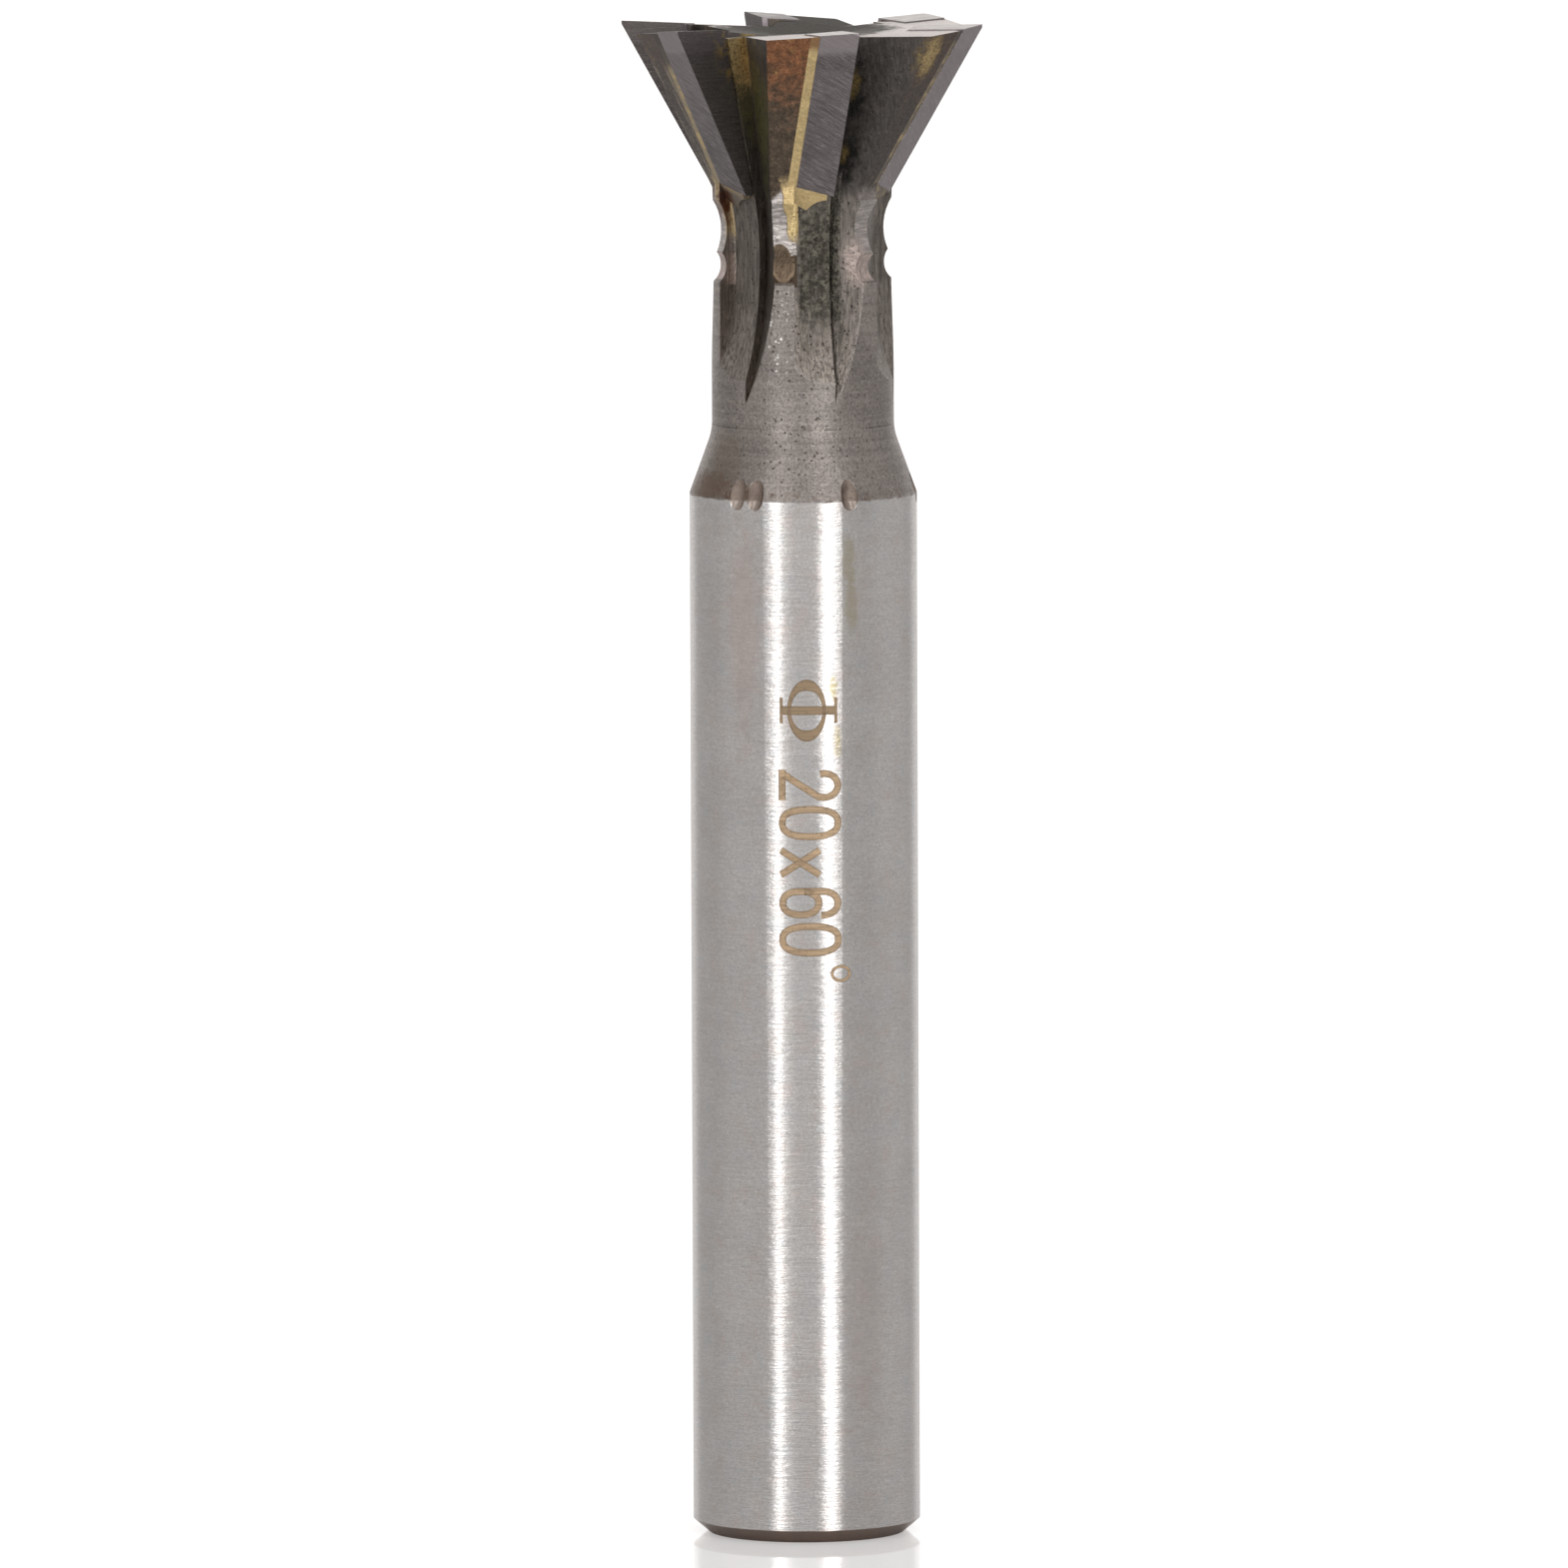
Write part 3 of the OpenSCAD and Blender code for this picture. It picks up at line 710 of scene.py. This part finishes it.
def steel_finish(style):
    """Ground shank, turned neck and heat-stained head of the one-piece steel body."""
    b = Bench("cutter_steel")
    f = ToothFields(b)
    m = SteelMarks(b, f)

    colour = b.blend(m.on_shank, neck_colour(b, f, m, style), shank_colour(b, f, m, style))
    colour = b.blend(m.in_nick * 0.85, colour, b.vary(style.nick, m.mottle, 0.7, 1.15))
    colour = b.blend(m.upper_scallop, colour, upper_scallop_colour(b, m, style))
    colour = b.blend(m.in_head, colour, head_colour(b, f, m, style))
    # Painted light: the ground end faces are painted lighter, as if lit from above, on top of their
    # fresh grinding
    colour = b.blend(m.at_end, colour, lit_end_colour(b, m, style))
    facet = f.patch(*FACET, m.mottle * 0.3 + 0.35) * m.right
    ground = b.most(b.most(m.lower_scallop, m.in_spot), facet * 0.85)
    colour = b.blend(ground, colour, lower_scallop_colour(b, f, m, style))
    colour = b.blend(m.wet, colour, b.vary(style.braze, m.grit, 0.7, 1.05))
    flush = m.left * b.band(f.z, *FLUSH_ZONE, 0.4) * b.ramp(m.mottle, 0.4, 0.55)
    colour = b.blend(flush * b.fall(f.local, -22.0, -18.0) * 0.8, colour, style.maroon)
    colour = b.blend(m.at_foot * 0.85, colour, style.foot)

    rough = b.ramp(m.on_shank, 0.0, 1.0, 0.5, 0.25, smooth=False)
    rough = rough + m.in_scale * 0.08 - m.at_end * 0.12 - m.upper_scallop * 0.12
    rough = rough + m.mottle.swing(0.12) + m.rings.swing(0.05) + m.in_nick * 0.2 + m.sooty_end * 0.35
    metal = 1.0 - m.in_scale * 0.4 - m.rust * 0.3 - m.sooty_end * 0.8
    b.set(Base_Color=colour, Roughness=rough, Metallic=metal)
    b.turned_grain(0.7)

    off_shank = 1.0 - m.on_shank
    height = (
        m.on_shank * (m.rings * 0.75 + m.grit * 0.1 - m.specks * 0.6)
        + off_shank * (m.grit * 0.7 + m.mottle * 0.8 - m.pits * 1.3)
        + off_shank * (1.0 - m.in_head) * (1.0 - m.in_cut) * m.lathe * 0.6
        + m.in_cut * (m.strokes * 0.9 + m.sooty * m.crust * 2.5)
        + m.at_scallop * (m.wheel_lines * 0.8 + m.curved * 0.4)
        + m.wet * 1.2
    )
    b.bump(height, 0.03)
    return b.material


def carbide_finish(style):
    """Ground carbide with slanting wheel scratches."""
    b = Bench("ground_carbide")
    f = ToothFields(b)
    p = f.point
    slant = b.join((f.v - f.z * 0.6) * 0.5, (f.z + f.v * 0.6) * 5.0, f.u * 0.5)
    scratch = b.noise(slant, 1.3, 4.0, 0.7)
    hair = b.ramp(b.noise(slant, 2.6, 2.0, 0.6), 0.58, 0.68)
    gouge = b.fall(b.noise(slant, 1.1, 2.0, 0.5), 0.28, 0.34)
    grain = b.noise(p, 11.0, 3.0, 0.6)
    cloud = b.noise(p, 0.8, 3.0, 0.6)
    colour = b.blend(b.ramp(cloud, 0.35, 0.65), style.carbide, b.shade(style.carbide, 0.84))
    colour = b.vary(colour, scratch, 0.78, 1.22)
    colour = b.vary(colour, grain, 0.88, 1.12)
    colour = b.blend(hair * 0.4, colour, b.shade(style.carbide, 2.0))
    colour = b.blend(gouge * 0.4, colour, b.shade(style.carbide, 0.45))

    # A lighter ground band along the end, strongest on the outer two teeth
    light = b.ramp(f.z + cloud.swing(0.5), 78.7, 79.1)
    light = light + f.is_tooth(LEFT) * b.ramp(f.z, 74.0, 79.0) * 0.5 + f.is_tooth(RIGHT) * 0.8
    colour = b.blend(b.least(light, 1.0) * 0.6, colour, b.shade(style.carbide, 1.9))

    # The rake faces look into the flute and keep soot and gold bloom
    on_rake = b.ramp(f.v, RAKE_Y - 0.03, RAKE_Y - 0.01)
    soot = b.vary(style.flute, grain, 0.8, 1.6)
    soot = b.vary(soot, scratch, 0.85, 1.15)
    bloom = b.ramp(b.noise(p, 1.2, 4.0, 0.7), 0.46, 0.64) * b.fall(f.u - f.z * 0.25, -13.6, -12.4)
    bloom = bloom * b.ramp(f.z, 75.5, 78.5) * on_rake * f.is_tooth(LEFT)
    colour = b.blend(on_rake * 0.8, colour, soot)
    colour = b.blend(bloom * 0.8, colour, style.stain)

    # Painted light: the end faces are painted much lighter than the sides, as if lit from above, on
    # top of their fresh grinding
    at_end = b.ramp(f.nz, 0.8, 0.95)
    lit_end_tone = b.vary(style.ground, scratch, 0.62, 0.92)
    lit_end_tone = b.blend(f.is_tooth(FAR) * b.ramp(cloud, 0.3, 0.55) * 0.9, lit_end_tone, soot)
    colour = b.blend(at_end, colour, lit_end_tone)
    rough = 0.45 + grain.swing(0.2) - hair * 0.08 - at_end * 0.12 + on_rake * 0.08
    b.set(Base_Color=colour, Metallic=0.85, Roughness=rough)
    b.bump(scratch * 0.9 + grain * 0.5 - gouge * 0.6, 0.02)
    return b.material


def braze_finish(style):
    """Pale gold filler, flowed and grainy, left dirty on all but the front tooth."""
    b = Bench("flowed_braze")
    f = ToothFields(b)
    p = f.point
    front = f.is_tooth(FRONT)
    left = f.is_tooth(LEFT)
    grain = b.noise(p, 6.0, 4.0, 0.65)
    cloud = b.noise(p, 1.3, 3.0, 0.6)
    pores = b.dots(p, 3.0, 0.06, 0.18) * b.ramp(grain, 0.48, 0.6)
    colour = b.blend(b.ramp(cloud, 0.3, 0.7), style.braze, b.shade(style.braze, 0.82))
    colour = b.vary(colour, grain, 0.78, 1.12)
    colour = b.blend(pores * 0.7, colour, style.pore)
    clean = front + left * 0.45
    dirty = (1.0 - clean) * b.ramp(cloud + grain.swing(0.6), 0.3, 0.62, 0.4, 0.92)
    colour = b.blend(dirty, colour, b.vary(style.flute, grain, 1.2, 2.6))

    # The left seam is duller and burnt near the end, and every seam is burnt at its very end
    burnt = b.shade(style.flute, 1.3)
    end_z = f.z + grain.swing(0.8)
    duller = left * b.ramp(cloud + grain.swing(0.5), 0.35, 0.6)
    colour = b.blend(duller * 0.7, colour, style.smear)
    colour = b.blend(left * b.ramp(end_z, 77.7, 78.3) * 0.85, colour, burnt)
    colour = b.blend(b.ramp(end_z, 78.9, 79.4) * 0.8, colour, b.blend(front, burnt, style.back))

    # Below the left tip the filler is scaled over, with a maroon flush at its back
    low = left * b.fall(f.z + f.v * 0.27 + cloud.swing(0.3), 70.8, 71.15)
    colour = b.blend(low * 0.9, colour, b.vary(style.milled, grain, 0.8, 1.2))
    flush = low * b.fall(f.v + cloud.swing(0.8), -1.4, -0.9)
    colour = b.blend(flush * 0.85, colour, style.maroon)
    b.set(Base_Color=colour, Metallic=0.7, Roughness=0.44 + grain.swing(0.3))
    b.bump(grain + cloud * 0.6 - pores, 0.04)
    return b.material


def mark_finish(style):
    """Etched mark: a dull gold-brown skin with a darker rim and burnt hatching."""
    b = Bench("etched_mark")
    p = b.position()
    z = b.split(p)[2]
    burn = b.noise(p, 5.0, 4.0, 0.65)
    hatch = b.noise(b.position(HATCH_STRETCH), 1.0, 2.0, 0.5)
    reader = b.node("Attribute")
    reader.attribute_name = "rim"
    rim = b.ramp(Field(b, reader.outputs["Fac"]) + burn.swing(0.5), 0.55, 0.95)
    colour = b.vary(style.mark, hatch, 0.85, 1.2)
    # The diameter sign is burnt browner than the figures below it
    colour = b.blend(b.ramp(z, 42.0, 42.4) * 0.6, colour, b.shade(style.mark, 0.5))
    colour = b.blend(rim * 0.75, colour, b.shade(style.mark, 0.45))
    colour = b.blend(b.ramp(burn, 0.56, 0.7) * 0.65, colour, b.shade(style.mark, 0.35))
    b.set(Base_Color=colour, Metallic=0.6, Roughness=0.5 + burn.swing(0.2))
    b.bump(burn + hatch, 0.01)
    return b.material


class CUTTER_OT_finish_body(bpy.types.Operator):
    """Finish the steel body: ground shank, turned neck, stained head"""

    bl_idname = "cutter.finish_body"
    bl_label = "Finish steel body"

    def execute(self, context):
        look(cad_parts["cutter_body"], steel_finish(context.scene.cutter_finish))
        return {"FINISHED"}


class CUTTER_OT_finish_tips(bpy.types.Operator):
    """Finish the carbide tips with slanting wheel scratches"""

    bl_idname = "cutter.finish_tips"
    bl_label = "Finish carbide tips"

    def execute(self, context):
        look_each("carbide_tip", carbide_finish(context.scene.cutter_finish))
        return {"FINISHED"}


class CUTTER_OT_finish_braze(bpy.types.Operator):
    """Finish the braze seams as flowed pale gold filler"""

    bl_idname = "cutter.finish_braze"
    bl_label = "Finish braze seams"

    def execute(self, context):
        look_each("braze_seam", braze_finish(context.scene.cutter_finish))
        return {"FINISHED"}


def arc(centre_x, centre_y, radius_x, radius_y, start, end, steps):
    """Points on an ellipse from one angle to another, in degrees."""
    points = []
    for k in range(steps + 1):
        a = math.radians(start + (end - start) * k / steps)
        points.append((centre_x + radius_x * math.cos(a), centre_y + radius_y * math.sin(a)))
    return points


def loop(centre_x, centre_y, radius_x, radius_y, squareness, steps):
    """Points round a closed oval whose sides flatten with the squareness."""
    points = []
    for k in range(steps + 1):
        a = 2 * math.pi * (k % steps) / steps
        c, s = math.cos(a), math.sin(a)
        reach = (abs(c) ** squareness + abs(s) ** squareness) ** (-1 / squareness)
        points.append((centre_x + radius_x * c * reach, centre_y + radius_y * s * reach))
    return points


def mark_strokes():
    """Strokes of the size mark as (points, width across, width along).

    Points run along the line of the mark and above it, in cap heights. A closed stroke has
    its first width where it runs up the figure and its second where it runs along it.
    """
    strokes = []

    def add(points, across=STROKE, along=STROKE):
        strokes.append((points, across, along))

    # Diameter sign: an oval that is heavy at its ends, its bar and the bar's short feet
    add(loop(SIGN_X, 0.45, 0.402, 0.28, 2.0, 56), 0.18, 0.06)
    add([(SIGN_X, 0.04), (SIGN_X, 0.92)], 0.14, 0.14)
    for height in (0.045, 0.915):
        add([(0.27, height), (0.68, height)], HAIRLINE, HAIRLINE)
    # 2: a hook that runs down to the left, and its foot
    hook = arc(TWO_X + 0.255, 0.72, 0.19, 0.225, 196, -28, 22)
    add(hook + [(TWO_X + 0.07, 0.07)])
    add([(TWO_X, 0.055), (TWO_X + 0.49, 0.055)])
    # 0
    add(loop(FIRST_NOUGHT_X, 0.5, 0.215, 0.445, 2.5, 44))
    # x
    for start, end in ((0.05, 0.44), (0.44, 0.05)):
        add([(CROSS_X + start, 0.03), (CROSS_X + end, 0.65)])
    # 6: its bowl, and the stem that curls over it
    add(loop(SIX_X + 0.245, 0.345, 0.185, 0.285, 2.3, 40))
    add([(SIX_X + 0.06, 0.4)] + arc(SIX_X + 0.25, 0.7, 0.19, 0.24, 180, -8, 22))
    # 0
    add(loop(SECOND_NOUGHT_X, 0.5, 0.21, 0.445, 2.5, 44))
    # Degree ring
    add(loop(RING_X, 0.986, 0.113, 0.145, 2.0, 28), HAIRLINE, HAIRLINE)
    return strokes


def is_closed(points):
    """True where a line of points ends where it starts."""
    return math.dist(points[0], points[-1]) < SAME_PLACE


def stroke_sides(points, across, along):
    """Left and right edge of a stroke that follows a line of points."""
    closed = is_closed(points)
    left, right = [], []
    last = len(points) - 1
    for k, (x, y) in enumerate(points):
        if closed:
            before, after = points[(k - 1) % last], points[(k + 1) % last]
        else:
            before, after = points[max(k - 1, 0)], points[min(k + 1, last)]
        dx, dy = after[0] - before[0], after[1] - before[1]
        size = math.hypot(dx, dy)
        width = along + (across - along) * (dy / size) ** 2
        nx, ny = -dy / size * width / 2, dx / size * width / 2
        left.append((x + nx, y + ny))
        right.append((x - nx, y - ny))
    return left, right


def divided(points, step):
    """The same line with points no further apart than a step."""
    out = [points[0]]
    for a, b in zip(points, points[1:]):
        count = max(1, math.ceil(math.dist(a, b) / step))
        for k in range(1, count + 1):
            t = k / count
            out.append((a[0] + (b[0] - a[0]) * t, a[1] + (b[1] - a[1]) * t))
    return out


def lay_stroke(build, wrap, stroke, top, deep):
    """One stroke of the mark as a closed skin between two distances from the axis."""
    points, across, along = stroke
    closed = is_closed(points)
    rim = build.verts.layers.float["rim"]
    rows = []
    for a, b in zip(*stroke_sides(divided(points, STROKE_STEP), across, along)):
        middle = ((a[0] + b[0]) / 2, (a[1] + b[1]) / 2)
        places = ((a, top), (middle, top), (b, top), (b, deep), (a, deep))
        row = [build.verts.new(wrap(*place)) for place in places]
        for vert in row:
            vert[rim] = 0.0 if vert is row[1] else 1.0
        rows.append(row)
    if closed:
        for vert in rows.pop():
            build.verts.remove(vert)
        rows.append(rows[0])
    sides = len(rows[0])
    for one, two in zip(rows, rows[1:]):
        for k in range(sides):
            n = (k + 1) % sides
            build.faces.new((one[k], one[n], two[n], two[k]))
    if not closed:
        build.faces.new(rows[0])
        build.faces.new(rows[-1])


class CUTTER_OT_make_size_mark(bpy.types.Operator):
    """Lay the plain size mark, diameter and angle, down the front of the shank"""

    bl_idname = "cutter.make_size_mark"
    bl_label = "Make size mark"

    def execute(self, context):
        mark = context.scene.cutter_mark
        shank_r = SHANK_R * MM
        build = bmesh.new()
        build.verts.layers.float.new("rim")

        def wrap(point, reach):
            """A point of the mark laid round the shank at a distance from the axis."""
            turn = mark.base_turn + point[1] * mark.cap_height / shank_r
            height = mark.top - point[0] * mark.cap_height
            return Vector((reach * math.sin(turn), -reach * math.cos(turn), height))

        for layer, stroke in enumerate(mark_strokes()):
            # Strokes that cross are set a hair apart so that no two skins share a place
            top = shank_r + mark.proud + layer * LAYER_LIFT
            lay_stroke(build, wrap, stroke, top, shank_r - MARK_DEPTH)
        bmesh.ops.recalc_face_normals(build, faces=build.faces)
        mesh = bpy.data.meshes.new("size_mark")
        build.to_mesh(mesh)
        build.free()
        piece = bpy.data.objects.new("size_mark", mesh)
        context.scene.collection.objects.link(piece)
        look(piece, mark_finish(context.scene.cutter_finish))
        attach(piece, "root")
        return {"FINISHED"}


def world_light(scene, studio):
    """White to the camera, a soft room to the object and a white wall behind it."""
    world = bpy.data.worlds.new("studio_room")
    scene.world = world
    world.use_nodes = True
    tree = world.node_tree
    tree.nodes.clear()

    def node(kind):
        """A new shader node of a kind."""
        return tree.nodes.new("ShaderNode" + kind)

    out = node("OutputWorld")
    coords = node("TexCoord")

    def glow(turn, low, high, level):
        """Light that grows towards a turn from the front."""
        dot = node("VectorMath")
        dot.operation = "DOT_PRODUCT"
        a = math.radians(turn)
        dot.inputs[1].default_value = (math.sin(a), -math.cos(a), 0.0)
        tree.links.new(coords.outputs["Generated"], dot.inputs[0])
        rise = node("MapRange")
        rise.interpolation_type = "SMOOTHSTEP"
        rise.inputs["From Min"].default_value = low
        rise.inputs["From Max"].default_value = high
        rise.inputs["To Max"].default_value = level
        tree.links.new(dot.outputs["Value"], rise.inputs["Value"])
        return rise.outputs["Result"]

    def added(level):
        """An adding node that takes up the level so far."""
        plus = node("Math")
        plus.operation = "ADD"
        tree.links.new(level, plus.inputs[0])
        return plus

    level = glow(*WALL, 1.0 - studio.room_light)
    for panel in ROOM_PANELS:
        add = added(level)
        tree.links.new(glow(*panel), add.inputs[1])
        level = add.outputs["Value"]
    add = added(level)
    add.inputs[1].default_value = studio.room_light
    room = node("Background")
    tree.links.new(add.outputs["Value"], room.inputs["Strength"])
    room.inputs["Color"].default_value = (*studio.room, 1.0)
    white = node("Background")
    white.inputs["Color"].default_value = (1.0, 1.0, 1.0, 1.0)
    path = node("LightPath")
    mix = node("MixShader")
    tree.links.new(path.outputs["Is Camera Ray"], mix.inputs["Fac"])
    tree.links.new(room.outputs["Background"], mix.inputs[1])
    tree.links.new(white.outputs["Background"], mix.inputs[2])
    tree.links.new(mix.outputs["Shader"], out.inputs["Surface"])


def floor_finish(studio):
    """Pale polished floor that reads white to the camera and keeps shadow and reflection."""
    b = Bench("pale_floor")
    haze = b.noise(b.position(), 0.05, 3.0, 0.5)
    b.set(
        Base_Color=b.vary(studio.floor, haze, 0.994, 1.006),
        Roughness=0.05 + haze.swing(0.01),
        IOR=2.0,
    )
    path = b.node("LightPath")
    glow = b.node("Emission")
    glow.inputs["Color"].default_value = (1.0, 1.0, 1.0, 1.0)
    seen = Field(b, path.outputs["Is Camera Ray"])
    b.put(seen * studio.floor_glow, glow.inputs["Strength"])
    both = b.node("AddShader")
    b.tree.links.new(b.shader.outputs["BSDF"], both.inputs[0])
    b.tree.links.new(glow.outputs["Emission"], both.inputs[1])
    b.tree.links.new(both.outputs["Shader"], b.out.inputs["Surface"])
    return b.material


def strip_light(scene, name, turn, half_width, glow):
    """A tall soft light at a turn from the front, facing the axis."""
    data = bpy.data.lights.new(name, "AREA")
    data.shape = "RECTANGLE"
    data.size = 2 * STRIP_DISTANCE * math.tan(math.radians(half_width))
    data.size_y = STRIP_HEIGHT
    data.energy = glow * math.pi * data.size * data.size_y
    lamp = bpy.data.objects.new(name, data)
    a = math.radians(turn)
    middle = STRIP_HEIGHT / 2 + STRIP_GAP
    lamp.location = (STRIP_DISTANCE * math.sin(a), -STRIP_DISTANCE * math.cos(a), middle)
    aim = Vector((0.0, 0.0, lamp.location.z)) - lamp.location
    lamp.rotation_euler = aim.to_track_quat("-Z", "Y").to_euler()
    lamp.visible_camera = False
    scene.collection.objects.link(lamp)


def make_floor(scene, studio):
    """A wide round floor under the foot."""
    build = bmesh.new()
    bmesh.ops.create_circle(build, cap_ends=True, segments=FLOOR_SIDES, radius=FLOOR_R)
    mesh = bpy.data.meshes.new("floor")
    build.to_mesh(mesh)
    build.free()
    floor = bpy.data.objects.new("floor", mesh)
    floor.location.z = CAD_BOX[0][2]
    scene.collection.objects.link(floor)
    look(floor, floor_finish(studio))


def make_camera(scene, studio):
    """A camera at the photograph's angle."""
    data = bpy.data.cameras.new("photo_camera")
    data.sensor_width = SENSOR_WIDTH
    camera = bpy.data.objects.new("photo_camera", data)
    eye = Vector((-studio.aim_side, -studio.camera_distance, studio.camera_height))
    aim = Vector((-studio.aim_side, 0.0, studio.aim_height))
    data.lens = data.sensor_width * (aim - eye).length / studio.view_width
    data.clip_end = CLIP_END
    turn = (aim - eye).to_track_quat("-Z", "Y").to_matrix().to_4x4()
    roll = Matrix.Rotation(studio.roll, 4, "Z")
    camera.matrix_world = Matrix.Translation(eye) @ turn @ roll
    scene.collection.objects.link(camera)
    scene.camera = camera


class CUTTER_OT_make_stage(bpy.types.Operator):
    """Set up the pale floor, the studio light and the camera"""

    bl_idname = "cutter.make_stage"
    bl_label = "Make stage"

    def execute(self, context):
        scene = context.scene
        studio = scene.cutter_studio
        make_floor(scene, studio)
        world_light(scene, studio)
        for name, turn, half_width, share in STRIPS:
            strip_light(scene, name, turn, half_width, studio.strip_glow * share)
        make_camera(scene, studio)
        scene.view_settings.view_transform = "Standard"
        return {"FINISHED"}


OPERATORS = (
    CUTTER_OT_finish_body,
    CUTTER_OT_finish_tips,
    CUTTER_OT_finish_braze,
    CUTTER_OT_make_size_mark,
    CUTTER_OT_make_stage,
)


class CUTTER_PT_sidebar(bpy.types.Panel):
    """Lists the steps and the values they use"""

    bl_idname = "CUTTER_PT_sidebar"
    bl_label = "Dovetail cutter"
    bl_space_type = "VIEW_3D"
    bl_region_type = "UI"
    bl_category = "Cutter"

    def draw(self, context):
        column = self.layout.column()
        for operator in OPERATORS:
            column.operator(operator.bl_idname)
        for group in ("cutter_finish", "cutter_mark", "cutter_studio"):
            values = getattr(context.scene, group)
            box = self.layout.box()
            for name in values.__annotations__:
                box.prop(values, name)


CLASSES = (CutterFinish, SizeMark, Studio, *OPERATORS, CUTTER_PT_sidebar)


def register():
    for cls in CLASSES:
        bpy.utils.register_class(cls)
    bpy.types.Scene.cutter_finish = bpy.props.PointerProperty(type=CutterFinish)
    bpy.types.Scene.cutter_mark = bpy.props.PointerProperty(type=SizeMark)
    bpy.types.Scene.cutter_studio = bpy.props.PointerProperty(type=Studio)


def unregister():
    del bpy.types.Scene.cutter_studio
    del bpy.types.Scene.cutter_mark
    del bpy.types.Scene.cutter_finish
    for cls in reversed(CLASSES):
        bpy.utils.unregister_class(cls)


def main():
    register()
    bpy.ops.cutter.finish_body()
    bpy.ops.cutter.finish_tips()
    bpy.ops.cutter.finish_braze()
    bpy.ops.cutter.make_size_mark()
    bpy.ops.cutter.make_stage()


if __name__ == "__main__":
    main()
